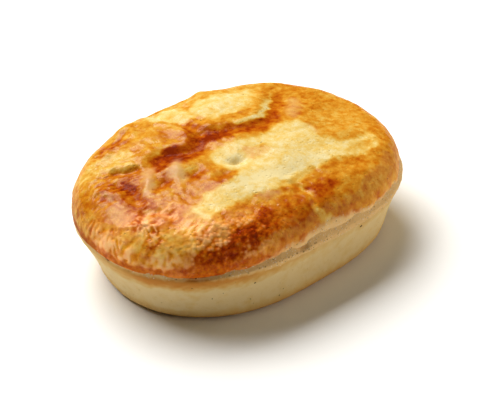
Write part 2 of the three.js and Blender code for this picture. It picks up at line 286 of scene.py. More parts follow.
def rippleHeight(ripple, x, y):
    length, height, turn, start = ripple
    along = x * math.cos(turn) + y * math.sin(turn)
    return height * np.sin(along / length * fullTurn + start)


def reliefAt(x, y):
    relief = sum(foldHeight(fold, x, y) for fold in folds)
    relief += sum(height * bell(ellipseAt(at, half, turn, x, y)) for at, half, turn, height in swellings)
    return relief + sum(rippleHeight(ripple, x, y) for ripple in ripples)


def smoothRise(inward, fullRise):
    shoulder = np.clip(inward / pie["shoulderWidth"], 0, 1)
    beyond = np.clip((inward - pie["shoulderWidth"]) / (pie["crownReach"] - pie["shoulderWidth"]), 0, 1)
    return fullRise * np.sqrt(1 - (1 - shoulder) ** 2) + pie["crownRise"] * np.sin(beyond * math.pi / 2)


# ---- the glazed lid

lidCrust = {
    "rings": 166,
    "crowding": 0.16,  # how much closer the rings lie at the edge than in the middle
    "sideTurns": [0.0, 0.03, 0.06, 0.1, 0.14, 0.18, 0.23, 0.29, 0.35, 0.42],
    "lowerEdge": [(2.2, 0.0), (0.45, 0.0), (0.2, 0.07), (0.06, 0.24), (0.0, 0.6)],
    "crimps": [(17, 0.16, 0.4), (29, 0.12, 1.9), (53, 0.07, 0.3)],  # waves round the rim, height, turn
}


def lidMesh():
    # rows of points round the low side, then rings of triangles, each with six more than the one inside it
    rings, spokes = lidCrust["rings"], 6 * lidCrust["rings"]
    angle = np.arange(spokes) / spokes * fullTurn
    edge = unevenOval(spokes, 0, pie["rimFullness"], [pie["lidWaves"]])
    underside = seamAt(angle, 1) + pie["pieceGap"]
    crimp = sum(height * np.sin(waves * angle + turn) for waves, height, turn in lidCrust["crimps"])
    fullRise = pie["shoulderRise"] + waveAt(pie["shoulderWaves"], angle)
    edgeHeight = lidCrust["lowerEdge"][-1][1]
    rows, smooth, starts, faces = [], [], [], []

    def addRow(outline, height, smoothHeight):
        starts.append(sum(len(row) for row in rows))
        rows.append(np.column_stack([outline, np.broadcast_to(height, len(outline))]))
        smooth.append(np.broadcast_to(smoothHeight, len(outline)))

    addRow(np.zeros((1, 2)), pie["seamHeight"] + pie["pieceGap"], 0)
    for inset, up in lidCrust["lowerEdge"]:
        addRow(offsetOutline(edge, crimp * min(up / edgeHeight, 1) - inset), underside + up, underside + up)
    for turn in lidCrust["sideTurns"]:
        inset = pie["shoulderWidth"] * (1 - math.cos(turn))
        height = underside + pie["lidEdge"] + fullRise * math.sin(turn)
        addRow(offsetOutline(edge, crimp * (1 - turn) - inset), height, height)
    last = len(rows) - 1
    faces += fanRing(0, starts[1], spokes, True)
    for row in range(1, last):
        faces += quadRing(starts[row], starts[row + 1], spokes)

    inset = pie["shoulderWidth"] * (1 - math.cos(lidCrust["sideTurns"][-1]))
    outline = offsetOutline(edge, -inset)
    outward = outwardOf(outline)
    firstOf = []
    for ring in range(rings):
        count = max(6 * ring, 1)
        share = ring / rings
        reach = share + lidCrust["crowding"] * math.sin(share * math.pi)
        place = np.arange(count) / count * spokes
        low = np.floor(place).astype(int) % spokes
        high = np.ceil(place).astype(int) % spokes
        rim = mixed(outline[low], outline[high], (place % 1)[:, None])
        inward = inset + (1 - reach) * np.sum(rim * outward[np.round(place).astype(int) % spokes], 1)
        here = np.arange(count) / count * fullTurn
        rise = pie["shoulderRise"] + reach * waveAt(pie["shoulderWaves"], here)
        base = seamAt(here, reach) + pie["solidGap"] + pie["lidEdge"] + smoothRise(inward, rise)
        fade = smoothStep(inward, inset, pie["reliefReach"])
        addRow(rim * reach, base + reliefAt(rim[:, 0] * reach, rim[:, 1] * reach) * fade, base)
        firstOf.append(starts[-1])
    firstOf.append(starts[last])

    for ring in range(rings):
        innerCount, outerCount = max(6 * ring, 1), 6 * (ring + 1)
        for sector in range(6):
            for step in range(ring + 1):
                inner, beyond = sector * ring + step, sector * (ring + 1) + step
                a = firstOf[ring] + inner % innerCount
                b = firstOf[ring + 1] + beyond % outerCount
                c = firstOf[ring + 1] + (beyond + 1) % outerCount
                faces.append((a, b, c))
                if step < ring:
                    faces.append((a, c, firstOf[ring] + (inner + 1) % innerCount))
    return np.vstack(rows), np.concatenate(smooth), faces


lidPoints, lidSmooth, lidFaces = lidMesh()
print("lid shaped:", len(lidPoints), "points")


# ---- the lid's skin: wrinkles that run inwards at the left end, blisters on the front shoulder

skin = {
    "ovalness": 1.25, "turnRadius": 44.0,  # how places round the middle of the lid are measured
    "starts": (0.8, 2.5),  # heights above the seam where the skin starts and is full
    "wrinkle": 0.17, "wrinkleSize": (4.2, 2.1), "fineSize": (2.2, 1.2),  # sizes are length and width
    "bend": 0.9, "bendSize": 7,
    "leftEnd": (14, 42), "leftEndFront": (-40, -28), "patchSize": 9, "smoothPatch": 0.35,
    "blister": 0.24, "blisterSize": 1.45, "blisterMiddle": (-36, -36.5), "blisterReach": (22, 9.5),
    "wrinkleLost": 0.6,  # share of the wrinkles that blisters take the place of
    "mottle": 0.1, "mottleSize": 2.6, "mottleSeen": 0.3, "mottleOnPale": 0.35, "paleSoft": 3,
}
paleBand = [(-46, -22), (-30, -17), (-13, -14), (-13, -1), (-4, 3), (10, 0.8), (26, 2), (29, -10),
            (45, -19), (38, -27), (16, -22), (-12, -24), (-40, -27)]


def skinOf(x, y, z):
    # height of the skin in millimetres, how far it stands up, from -1 to 1, and where it is puckered
    s = skin
    out = np.hypot(x, y * s["ovalness"]) - z
    around = np.arctan2(y * s["ovalness"], -x) * s["turnRadius"]
    level = np.zeros_like(x)
    bend = s["bend"] * noiseAt(x, y, z, s["bendSize"], 11)
    wave = noiseAt(out / s["wrinkleSize"][0] + bend, around / s["wrinkleSize"][1] + bend, level, 1, 12)
    fine = noiseAt(out / s["fineSize"][0] + bend, around / s["fineSize"][1] - bend, level, 1, 13)
    patchy = mixed(s["smoothPatch"], 1, smoothStep(noiseAt(x, y, z, s["patchSize"], 15), -0.5, 0.5))
    leftEnd = smoothStep(-x, *s["leftEnd"]) * smoothStep(y, *s["leftEndFront"]) * patchy
    cells = np.array([noise.voronoi(Vector(place))[0][0]
                      for place in np.column_stack([x, y, z]) / s["blisterSize"]])
    middle, reach = s["blisterMiddle"], s["blisterReach"]
    front = bell((x - middle[0]) / reach[0]) * bell((y - middle[1]) / reach[1])
    plain = smoothStep(insideOf(curveThrough(paleBand, 80, True), x, y), -s["paleSoft"], s["paleSoft"])
    wrinkles = leftEnd * (1 - s["wrinkleLost"] * front) * (0.6 - 1.5 * np.abs(wave) + 0.6 * fine)
    blisters = front * (0.9 - 2.2 * cells ** 1.5)
    mottles = mixed(1, s["mottleOnPale"], plain) * noiseAt(x, y, z, s["mottleSize"], 14)
    height = s["wrinkle"] * wrinkles + s["blister"] * blisters + s["mottle"] * mottles
    stands = np.clip(wrinkles + blisters + s["mottleSeen"] * mottles, -1, 1)
    return height, stands, np.maximum(leftEnd, front)


lidSkin, lidStands, lidPuckered = skinOf(*lidPoints.T)
print("skin laid")


# ---- browning of the lid: 0 is pale dough, 1 the darkest crust
# Painted in order. An area is a closed outline, a streak a path with its half width at each knot.

browning = {
    "start": 0.5,
    "seenShift": (0.913, 1.108),  # how far relief moves a place in the photo, for each millimetre it rises
    # strength, size and seed of what makes the edges wander and the crust uneven
    "warpX": [(0.9, 4.5, 1), (0.45, 1.7, 2)], "warpY": [(0.9, 4.5, 3), (0.45, 1.7, 4)],
    "lumps": [(0.05, 6.5, 5), (0.08, 2.6, 6), (0.07, 1.3, 9)],
    "darkNoise": [(0.7, 2.2, 7)], "bareNoise": [(0.5, 1.1, 8)],
    "paleLumps": 0.4, "lumpLevels": (0.15, 0.45),  # share of the lumps on pale dough, and where they are full
    "standing": 0.11,  # how much paler the skin is where it stands up: partly its own paler crests, partly a painted highlight
    "ridgeLevel": 0.32,  # level of the pale ridges
    "darkLevel": 0.8, "darkShare": 0.85, "darkSoft": 0.7, "roseLost": 0.8,  # the dark low edge
    "bareSoft": 1.5,
    # around the rim, in turns: millimetres above the seam that stay raw, and that brown at the edge
    "bareSide": [(0.0, 2.6), (0.05, 1.0), (0.1, -2), (0.62, -2), (0.67, 0.6), (0.70, 2.4), (0.73, 3.2),
                 (0.76, 5.0), (0.785, 4.6), (0.81, 2.6), (0.84, 1.6), (0.90, 2.0), (0.97, 3.0), (1.0, 2.6)],
    "darkEdge": [(0.0, -2), (0.40, -2), (0.44, 1.6), (0.5, 3.6), (0.57, 3.0), (0.605, 5.0), (0.655, 4.6),
                 (0.69, 1.5), (0.71, -2), (1.0, -2)],
}
brownAreas = [
    # level, softness, opacity, outline
    (0.42, 2.5, 1, [(-31, 38), (-13, 38), (-9, 28), (-8, 20), (-12, 16), (-20, 15.5), (-29, 17),
        (-31, 25)]),
    (0.29, 2.2, 1, [(-47, 27), (-40, 28), (-35, 27), (-30.5, 25), (-30, 20), (-33, 16), (-38, 15.5),
        (-42, 18), (-48, 18), (-51, 22)]),
    (0.40, 2.0, 1, [(-1, 42), (20, 42), (35, 36), (39, 29), (37, 24), (30, 17), (22, 12.5), (12, 14),
        (6, 16), (0.5, 20)]),
    (0.12, 2.0, 1, [(2.8, 32), (8, 34), (20, 33.5), (27, 31.5), (30, 29), (27.5, 24), (22, 20), (16, 18),
        (10, 18), (5.5, 19), (3, 22), (2.2, 28)]),
    (0.16, 1.2, 1, [(-13, 37), (-8, 40), (0, 38), (1.2, 30), (0.8, 26), (-2, 24.5), (-5, 25.5), (-7, 28),
        (-12, 33)]),
    (0.11, 1.6, 1, [(-38, -22), (-36, -19.5), (-34, -18.2), (-30, -17.5), (-25, -15), (-20, -14.8),
        (-13, -14.5), (-11, -12), (-13, -7), (-13, -1), (-9, 2.2), (-4, 3), (2, 3.6), (6, 2.3),
        (10, 0.8), (15, 0.8), (20, 1.8), (26, 2), (28.5, 0), (29, -6), (29, -12), (32, -17), (38, -19),
        (45, -19), (48, -22), (44, -26), (38, -27.5), (32, -27), (27, -26), (22, -24.5), (16, -25),
        (12, -25.5), (9, -27), (5, -27.5), (0, -27), (-5, -26.5), (-12, -25), (-18, -24.6), (-25, -24),
        (-31, -24.5), (-37, -25.5)]),
    (0.42, 1.5, 1, [(30, 2), (30.5, -5), (30.5, -12), (33, -15.5), (38, -17.5), (45, -18), (49, -16),
        (52, -10), (55, -5), (54, 2), (50, 6), (44, 7), (38, 3), (33, 3)]),
    (0.6, 1.5, 1, [(-49, -31), (-41, -28), (-33, -28), (-24, -26), (-12, -26), (-5, -27.5), (0, -28),
        (5, -28.5), (12, -27.5), (20, -26), (28, -27.5), (38, -29.5), (50, -25), (56, -30), (40, -48),
        (0, -52), (-40, -48)]),
    (0.5, 2.5, 1, [(18, -28), (30, -30), (44, -28), (52, -18), (58, -24), (46, -42), (30, -46), (20, -42)]),
    (0.62, 3.0, 1, [(-58, 14), (-50, 14), (-42, 4), (-41, -4), (-46, -10), (-50, -12), (-58, -10),
        (-60, 0)]),
    (0.7, 1.6, 1, [(-42, 12), (-34, 12), (-30, 8), (-33, 5), (-40, 6)]),
    (0.36, 1.8, 1, [(-2, -4), (4, -3), (8, -6), (4, -9), (-2, -9)]),
    (0.56, 1.8, 1, [(-18, 26), (-12, 26), (-10, 18), (-14, 15), (-19, 17)]),
    (0.42, 2.0, 1, [(-58, -14), (-50, -14), (-42, -22), (-38, -27), (-44, -32), (-54, -26)]),
    # palest dough on the front of the pale band: partly its own tone, partly painted light where it faces
    # away from the lamps
    (0.0, 2.5, 1, [(-16, -18), (0, -16.5), (20, -17), (26, -20), (20, -23), (0, -24.5), (-16, -22)]),
    (0.52, 2.0, 1, [(40, 8), (50, 8), (51, 3), (44, 1.5), (39, 4)]),
    (0.85, 1.3, 1, [(-48, -33), (-44, -33.2), (-40, -34.5), (-35, -35.5), (-30, -35), (-27, -34.5),
        (-24, -35.5), (-20, -34), (-18, -32), (-14, -31.5), (-11.5, -35), (-11, -38), (-14, -40),
        (-22, -40.5), (-30, -40.5), (-38, -40), (-45, -37)]),
    (0.72, 1.5, 1, [(-11, -32.5), (-4, -32), (1, -33), (2, -37), (-1, -40), (-6, -42), (-12, -41)]),
    (0.8, 1.4, 1, [(4, -32), (7, -31), (12, -31), (15, -33), (13, -36), (9, -38.5), (4.5, -37.5)]),
    (0.76, 2.2, 1, [(-51, 11), (-45, 12), (-40, 9.5), (-40, 3), (-41.5, -1), (-44, -4.5), (-50, -4.5),
        (-52, 0)]),
    (0.75, 1.3, 1, [(-28, -8.5), (-25, -5), (-22.5, -2), (-20, -4), (-19.5, -7), (-24, -8)]),
    (0.74, 1.5, 0.8, [(-41, 12), (-34, 12), (-31, 9), (-34, 7.5), (-40, 8)]),
    (0.73, 3.0, 0.8, [(-50, 4), (-44, 6), (-40, 2), (-41, -6), (-44, -12), (-50, -14), (-52, -6)]),
    (0.7, 2.5, 0.55, [(-38, -9), (-30, -8), (-22, -9), (-22, -13), (-30, -15), (-36, -17), (-44, -20),
        (-45, -16), (-40, -13)]),
    (0.62, 2.0, 0.6, [(-34, 8), (-28, 6), (-27, 3), (-31, 3), (-36, 6), (-40, 9), (-38, 11)]),
    (0.3, 1.5, 0.8, [(-25, 2), (-21, 2), (-20.5, -2), (-24, -3)]),
    (0.5, 1.5, 0.8, [(-41, -18), (-35.5, -18), (-34.5, -22), (-35.5, -27), (-40, -28), (-42, -24)]),
    (0.7, 2.0, 0.7, [(-52, -10), (-46, -10), (-41, -13), (-40, -18), (-45, -22), (-48, -18)]),
    (0.36, 2.0, 0.7, [(-57, -16), (-53, -17), (-47, -22), (-44, -27), (-50, -28), (-56, -22)]),
    (0.42, 1.5, 0.5, [(-17, -26), (-3, -27.5), (-3, -30), (-10, -31), (-17, -29)]),
]
brownStreaks = [
    # softness, opacity, knots of (x, y, half width, level)
    (1.4, 1, [(-30, 6.5, 2.6, 0.92), (-26, 9.3, 3.6, 0.98), (-20, 8.9, 5.8, 0.98), (-16, 8.5, 5.2, 0.9),
        (-12, 8.8, 4.4, 0.88), (-8, 11, 4.2, 0.88)]),
    (1.4, 1, [(-5, 21, 2.8, 0.94), (-5, 17, 4.2, 1.0), (-4.5, 12.5, 4.8, 1.0), (0, 10.8, 4.2, 0.93),
        (5, 9.4, 4.0, 0.82), (10, 7.6, 4.2, 0.8), (15, 6.2, 4.0, 0.82), (20, 7.3, 3.3, 0.8),
        (25, 10.5, 2.7, 0.8), (30, 14.5, 2.6, 0.74), (35, 18.5, 2.3, 0.66), (39, 21.5, 1.4, 0.6)]),
    (2.0, 0.9, [(-6, 17, 4.5, 0.76), (1, 15.5, 3, 0.66), (4, 14.5, 1.6, 0.6)]),
    (1.5, 0.9, [(9, 17, 1.6, 0.56), (14, 16.2, 1.9, 0.58), (19, 16, 1.7, 0.55)]),
    (1.2, 0.6, [(-2, -25.6, 1, 0.45), (6, -24.8, 1.4, 0.45), (14, -24.2, 1, 0.42)]),
    (1.5, 0.6, [(33, -23.5, 1.5, 0.4), (38, -24, 2, 0.42), (44, -23, 2, 0.45)]),
    (2.0, 0.7, [(-35, 28, 1.5, 0.6), (-31, 27.5, 2, 0.6), (-27, 28.5, 2, 0.55)]),
    # pale lip along the back flap's edge: partly paler crust, partly a painted highlight on its crest
    (0.9, 1, [(9, 12.3, 1.0, 0.2), (13, 11.2, 1.5, 0.12), (17, 10.7, 1.7, 0.08), (20.5, 10.9, 1.5, 0.06),
        (23, 12.4, 1.2, 0.04), (26, 15.4, 1.2, 0.06), (28.5, 17.7, 1.3, 0.14), (32, 20.5, 1.2, 0.2),
        (36, 24.5, 1, 0.34)]),
    (1.3, 1, [(31, 20.5, 1.2, 0.5), (34.5, 24.5, 2.2, 0.62), (37, 27.5, 1.5, 0.55)]),
    (1.0, 1, [(-39.5, -3.4, 1.2, 0.7), (-35, -2.4, 1.9, 0.8), (-31, -0.8, 1.8, 0.72),
        (-29, 2.5, 1.5, 0.7)]),
    (1.0, 1, [(-53.6, 9.5, 1.2, 0.7), (-53, 6, 0.9, 0.88), (-52.8, 3, 1, 0.88)]),
    (1.4, 1, [(-44, 7, 1.5, 0.9), (-43.5, 4.5, 1.9, 0.95), (-44.5, 0, 1.8, 0.86), (-46, -3, 1.5, 0.74)]),
    (1.2, 0.9, [(-46.5, -7.5, 1.2, 0.78), (-50, -10.5, 1.4, 0.8), (-54, -13, 1.4, 0.76)]),
    (2.5, 0.5, [(-51, 9, 2, 0.7), (-52, 3, 2.2, 0.7), (-52, -1, 2, 0.7)]),
    (1.5, 1, [(-51.5, -2, 1.6, 0.76), (-50, -4.5, 2, 0.8), (-48, -8, 1.8, 0.75), (-45.5, -11.5, 2, 0.7)]),
    (1.4, 0.8, [(-45.5, -14, 1.8, 0.7), (-47.5, -17, 1.9, 0.74), (-53, -18.5, 1.2, 0.68)]),
    (1.0, 0.9, [(-54.5, -21.5, 0.9, 0.8), (-51, -22.5, 1.2, 0.82)]),
    (1.2, 1, [(-18.5, -12, 1.6, 0.7), (-14, -12.2, 1.9, 0.7), (-11, -11.4, 1.1, 0.6)]),
    (1.4, 1, [(-26, -12, 1.5, 0.55), (-22.5, -12, 2.0, 0.58)]),
    (1.3, 1, [(-45, 14.5, 1.2, 0.66), (-42, 14.5, 1.5, 0.7), (-38, 12.5, 1, 0.6), (-35, 12, 0.9, 0.7)]),
    (1.3, 1, [(-40, 27.5, 0.8, 0.62), (-35, 31, 1.7, 0.76), (-30, 30.5, 2.4, 0.78), (-25, 34, 1.2, 0.58)]),
    (2.0, 1, [(-28, 19, 2.2, 0.56), (-24, 19, 2, 0.52)]),
    (2.0, 0.7, [(52, 0, 1.6, 0.5), (53, -8, 2, 0.5), (51, -18, 2.5, 0.55), (47, -26, 2, 0.55)]),
    (1.0, 0.9, [(4.5, -28, 0.6, 0.35), (3.5, -31, 0.7, 0.32), (3.8, -34, 0.8, 0.4), (3, -37, 0.9, 0.4)]),
    (1.0, 1, [(1.5, -39.5, 0.8, 0.3), (3, -42, 1.0, 0.28), (5, -44.5, 1.6, 0.25)]),
]
paleStreaks = [
    # drawn out ridges, paler and with a painted pinkish highlight: softness, opacity, knots of (x, y, half
    # width)
    (1.6, 0.55, [(-40.5, -2.5, 0.8), (-38.5, 0.5, 1.6), (-36, 4, 1.7), (-33, 8.5, 1)]),
    (1.7, 0.55, [(-27.5, -5, 1.2), (-26.5, 0, 1.9), (-25, 3.2, 2.1), (-23.6, 5, 1.5)]),
    (2.2, 0.3, [(-32.6, -22, 1.0), (-32.4, -26, 1.5), (-32.6, -30, 1.6), (-33.5, -33.5, 1)]),
    (1.4, 0.5, [(-47, -10.5, 1.0), (-50, -13, 1.1), (-54, -15.5, 1)]),
    (3.0, 0.25, [(-54, -1, 2.2), (-55, -6, 2.6), (-54, -9, 1.6)]),
    (1.0, 0.3, [(-51.3, 8, 0.7), (-51.2, 3, 0.7), (-51.5, -1, 0.8)]),
    (2.0, 0.4, [(-9.5, -26.5, 1.8), (-6, -28, 1.2)]),
    (2.2, 0.3, [(30, 4.5, 1.6), (34, 9, 2.2), (38, 13, 1.6)]),
    (2.0, 0.3, [(28.5, -5, 0.8), (28.5, -9, 1.1)]),
]


shoulder = {
    # the front left shoulder, puckered, with a painted pinkish highlight and painted light where its skin
    # stands up
    "way": (-0.6, -0.8), "reach": (27, 41), "browner": 0.06,
    "roseSheen": 0.6, "roseStands": (-0.5, 0.8), "roseUntil": (0.62, 0.78),
    "paintedLight": (0.5, 1.0), "glowStands": (-0.6, 0.7), "glowUntil": (0.7, 0.9), "glowLost": 0.7,
}
# steam hole: made paler, partly for its pale dough and partly as painted light against the shade in its
# dimple, and given painted light
steamHole = {"at": (-6.2, -5.8), "half": (5, 2.8), "turn": -0.25, "paler": 0.15, "paintedLight": 0.2}
lidPaintedLight = {
    # painted light, standing in for light from the front: the crust is also brighter low on the front side,
    # and on the front of the pale band
    "lowHeights": (3, 15), "ovalness": 1.3, "facing": (-0.3, 0.3),
    "band": 0.12, "bandFront": (14, 20), "bandLevel": 0.25, "bandSoft": 0.1,
}


def streakAt(knots, x, y):
    # how far a place is inside the edge of a streak, and the level of the streak there, if it has one
    line = curveThrough(knots, 5 * len(knots))
    distance, _, along = nearestOnLine(line, x, y)
    width, *level = (np.interp(along, np.linspace(0, 1, len(line)), column) for column in line.T[2:])
    return width - distance, level


def paintFolds(x, y):
    # the painted areas and streaks, in their order, and where the painted pinkish highlight lies
    bake, roseSheen = np.full(x.shape, browning["start"]), np.zeros(x.shape)
    for level, soft, opacity, outline in brownAreas:
        inside = insideOf(curveThrough(outline, 4 * len(outline), True), x, y)
        bake = mixed(bake, level, smoothStep(inside, -soft, soft) * opacity)
    for soft, opacity, knots in brownStreaks:
        inside, (level,) = streakAt(knots, x, y)
        bake = mixed(bake, level, smoothStep(inside, -soft, soft) * opacity)
    for soft, opacity, knots in paleStreaks:
        inside, _ = streakAt(knots, x, y)
        roseSheen = np.maximum(roseSheen, smoothStep(inside, -soft, soft) * opacity)
    return mixed(bake, browning["ridgeLevel"], roseSheen), roseSheen


def paintLid():
    b, s, g = browning, shoulder, lidPaintedLight
    x, y, z = lidPoints.T
    lift = z - np.where(lidSmooth > 0, lidSmooth, z)
    x, y = x + b["seenShift"][0] * lift, y + b["seenShift"][1] * lift
    bake, roseSheen = paintFolds(x + noiseSum(b["warpX"], x, y, z), y + noiseSum(b["warpY"], x, y, z))
    lumpy = mixed(b["paleLumps"], 1, smoothStep(bake, *b["lumpLevels"]))
    # paler where the skin stands up: partly its own tone, partly a painted highlight on the crests
    bake += noiseSum(b["lumps"], x, y, z) * lumpy - b["standing"] * lidStands

    # front left shoulder: a little browner, with a painted pinkish highlight where the skin stands up
    frontLeft = lidPuckered * smoothStep(s["way"][0] * x + s["way"][1] * y, *s["reach"])
    pinkish = smoothStep(lidStands, *s["roseStands"]) * (1 - smoothStep(bake, *s["roseUntil"]))
    roseSheen = np.maximum(roseSheen, s["roseSheen"] * frontLeft * pinkish)
    # the steam hole: paler, and lifted by painted light against the shade of its dimple
    hole = bell(ellipseAt(steamHole["at"], steamHole["half"], steamHole["turn"], x, y))
    bake += s["browner"] * frontLeft - steamHole["paler"] * hole

    turned = turnsAt(x, y)
    above = lidSmooth - seamAt(turned * fullTurn, 1) + noiseSum(b["darkNoise"], x, y, z)
    dark = smoothStep(byTurns(b["darkEdge"], turned) - above, -b["darkSoft"], b["darkSoft"])
    bake = mixed(bake, b["darkLevel"], dark * b["darkShare"])
    roseSheen *= 1 - b["roseLost"] * dark
    uncovered = byTurns(b["bareSide"], turned) - above + noiseSum(b["bareNoise"], x, y, z)
    bare = smoothStep(uncovered, -b["bareSoft"], b["bareSoft"])

    # painted light: brighter low on the front side, on the standing skin of the front left shoulder, on the
    # front of the pale band and in the steam hole
    low = 1 - smoothStep(lidSmooth - pie["seamHeight"], *g["lowHeights"])
    paintedLight = low * smoothStep(-y / np.hypot(x, y * g["ovalness"] + 0.01), *g["facing"])
    undarkened = 1 - s["glowLost"] * smoothStep(bake, *s["glowUntil"])
    paintedLight += frontLeft * mixed(*s["paintedLight"], smoothStep(lidStands, *s["glowStands"])) * undarkened
    paintedLight += g["band"] * smoothStep(-y, *g["bandFront"]) * smoothStep(g["bandLevel"] - bake, 0, g["bandSoft"])
    paintedLight += steamHole["paintedLight"] * hole
    return {"bake": np.clip(bake, 0, 1.1), "roseSheen": roseSheen * (1 - bare), "bare": bare, "paintedLight": paintedLight}


lidPaint = paintLid()
print("lid browned")

lidPoints[:, :2] -= pie["middle"]
glazedLid = meshPiece("glazedLid", lidPoints, lidFaces, lidPaint)
swell(glazedLid, lidPoints, lidSkin * smoothStep(lidSmooth - pie["seamHeight"], *skin["starts"]))


# ---- the pale case

caseCrust = {
    "spokes": 540,
    "wallRows": 26,
    "footRows": 8,
    "flangeProud": 0.4,
    "flangeHeight": 3.3,
    "flangeStep": 0.7,
    "wallTaper": 4.3,
    "wallHollow": 0.35,
    "footRadius": 3.6,
    "shelf": 3.0,
    # how far out and, as a share of its height, how high each row of the flange is
    "flange": [(-0.5, 0.1), (-0.3, 0.2), (-0.12, 0.3), (0.0, 0.45), (0.05, 0.6), (0.04, 0.74), (0.0, 0.86)],
    # by turns: how high the dough of the flange is pressed up against the lid
    "pressed": [(0.0, 1.7), (0.06, 0.8), (0.4, 0.7), (0.62, 0.7), (0.67, 1.4), (0.72, 1.9), (0.9, 2.0),
                (1.0, 1.7)],
    "pressedSteps": [0.18, 0.36, 0.54, 0.72, 0.88, 1.0, 1.12],
    "pressedUnder": 0.25,  # how far inside the lid's edge the pressed dough ends
    "cracks": [(0.722, 3.0, 0.5), (0.602, 5.0, 0.45), (0.517, 2.0, 0.5)],  # turns, half length, depth
    "crackNotch": 0.5,  # how far a crack goes in, for each millimetre of depth
    "crackOpens": 0.4, "openShare": 0.8,  # depth at which the pressed dough is lost, and how much of it
    "lumps": [(0.07, 3.1, 24), (0.09, 8, 25)], "rawLumps": [(0.1, 1.2, 26)],  # strength, size, seed
    "lumpsStart": (0.2, 2),
}


def crackDepth(angle):
    meanRadius = (pie["length"] + pie["width"]) / 4
    turned = angle / fullTurn
    return sum(
        depth * bell((((turned - at + 1.5) % 1) - 0.5) * fullTurn * meanRadius / half)
        for at, half, depth in caseCrust["cracks"]
    )


def caseMesh():
    c = caseCrust
    spokes = c["spokes"]
    angle = np.arange(spokes) / spokes * fullTurn
    top = seamAt(angle, 1) - pie["pieceGap"]
    crack = crackDepth(angle)
    rim = unevenOval(spokes, -c["flangeProud"], pie["rimFullness"], [pie["lidWaves"], pie["flangeWaves"]])
    inset = c["flangeStep"] + c["wallTaper"] - c["flangeProud"]
    base = unevenOval(spokes, inset, pie["baseFullness"],
                      [pie["lidWaves"], pie["flangeWaves"], pie["baseWaves"]])
    rows = []
    for share in np.linspace(1, 0, c["footRows"]):
        turn = share * math.pi / 2
        rows.append((offsetOutline(base, -c["footRadius"] * (1 - math.cos(turn))),
                     np.full(spokes, c["footRadius"] * (1 - math.sin(turn)))))
    wallTop = offsetOutline(rim, -c["flangeStep"])
    for share in np.linspace(0, 1, c["wallRows"] + 1)[1:]:
        outline = offsetOutline(mixed(base, wallTop, share), -c["wallHollow"] * math.sin(share * math.pi))
        rows.append((outline, c["footRadius"] + (top - c["flangeHeight"] - c["footRadius"]) * share))
    for out, up in c["flange"]:
        outline = offsetOutline(rim, out - c["crackNotch"] * crack * smoothStep(up, 0.6, 1))
        rows.append((outline, top - c["flangeHeight"] * (1 - up) - crack * smoothStep(up, 0.3, 0.86)))
    notched = offsetOutline(rim, -c["crackNotch"] * crack)
    lidEdge = offsetOutline(unevenOval(spokes, 0, pie["rimFullness"], [pie["lidWaves"]]), -c["pressedUnder"])
    shut = 1 - c["openShare"] * np.clip(crack / c["crackOpens"], 0, 1)
    pressed = byTurns(c["pressed"], angle / fullTurn) * shut
    lowest = c["flangeHeight"] * (1 - c["flange"][-1][1])
    for share in c["pressedSteps"]:
        height = top - lowest + share * (lowest + pressed) - crack
        rows.append((mixed(notched, lidEdge, share), height))
    rows.append((offsetOutline(rim, -c["shelf"]), top))

    points = np.vstack([np.column_stack([outline, height]) for outline, height in rows])
    below, above = len(points), len(points) + 1
    faces = []
    for row in range(len(rows) - 1):
        faces += quadRing(row * spokes, (row + 1) * spokes, spokes)
    faces += fanRing(below, 0, spokes, True) + fanRing(above, (len(rows) - 1) * spokes, spokes, False)
    middles = [[0, 0, 0], [0, 0, pie["seamHeight"] - pie["pieceGap"]]]
    return np.vstack([points, middles]), faces


caseBrowning = {
    # around the rim, in turns: strength of the caramel band, and of the raw strip under the seam
    "band": [(0.0, 0.5), (0.3, 0.6), (0.42, 0.3), (0.47, 0.15), (0.52, 0.45), (0.56, 1.0), (0.63, 0.95),
             (0.67, 0.6), (0.72, 0.4), (0.78, 0.25), (0.9, 0.3), (1.0, 0.5)],
    "rawStrip": [(0.0, 2.2), (0.05, 0.3), (0.42, 0.2), (0.5, 0.1), (0.6, 0.3), (0.66, 1.2), (0.7, 2.2),
                 (0.8, 2.8), (0.95, 3.0), (1.0, 2.2)],
    # foot: by turns, how much darker the wall is towards its foot
    "foot": [(0.0, 0.6), (0.4, 0.5), (0.5, 0.55), (0.6, 0.6), (0.68, 0.75), (0.74, 0.95), (0.8, 0.75),
             (0.9, 0.5), (1.0, 0.6)],
    "bandReach": 5.0, "bandSoft": 2.6, "rawSoft": 1.0,
    "footHeights": (0.5, 6.5), "footShare": 0.7, "footCloud": 1.5, "cloudShare": 0.1,
    # strength, size and seed of what makes the edges uneven and the wall cloudy
    "edgeNoise": [(0.35, 3, 21)], "rawNoise": [(0.3, 1.2, 28)], "bandNoise": [(0.8, 1.6, 27), (0.8, 5, 29)],
    "clouds": [(0.5, 9, 22)], "flatClouds": [(0.4, 3.4, 23)], "flatness": 1.8,
}


def paintCase(points):
    b = caseBrowning
    x, y, z = points.T
    turned = turnsAt(x, y)
    band, strip, foot = (byTurns(b[key], turned) for key in ("band", "rawStrip", "foot"))
    below = seamAt(turned * fullTurn, 1) - z + noiseSum(b["edgeNoise"], x, y, z)
    covered = below + noiseSum(b["rawNoise"], x, y, z) - strip
    raw = 1 - smoothStep(covered, -b["rawSoft"], b["rawSoft"])
    reach = b["bandReach"] + noiseSum(b["bandNoise"], x, y, z)
    toast = band * (1 - raw) * smoothStep(reach - below, -b["bandSoft"], b["bandSoft"])
    cloud = noiseSum(b["clouds"], x, y, z) + noiseSum(b["flatClouds"], x, y, z * b["flatness"])
    # darker towards the foot, most at the front
    darkened = b["footShare"] * foot * (1 - smoothStep(z + b["footCloud"] * cloud, *b["footHeights"]))
    return {"toast": np.clip(np.maximum(toast, darkened) + b["cloudShare"] * cloud, 0, 1), "raw": raw}


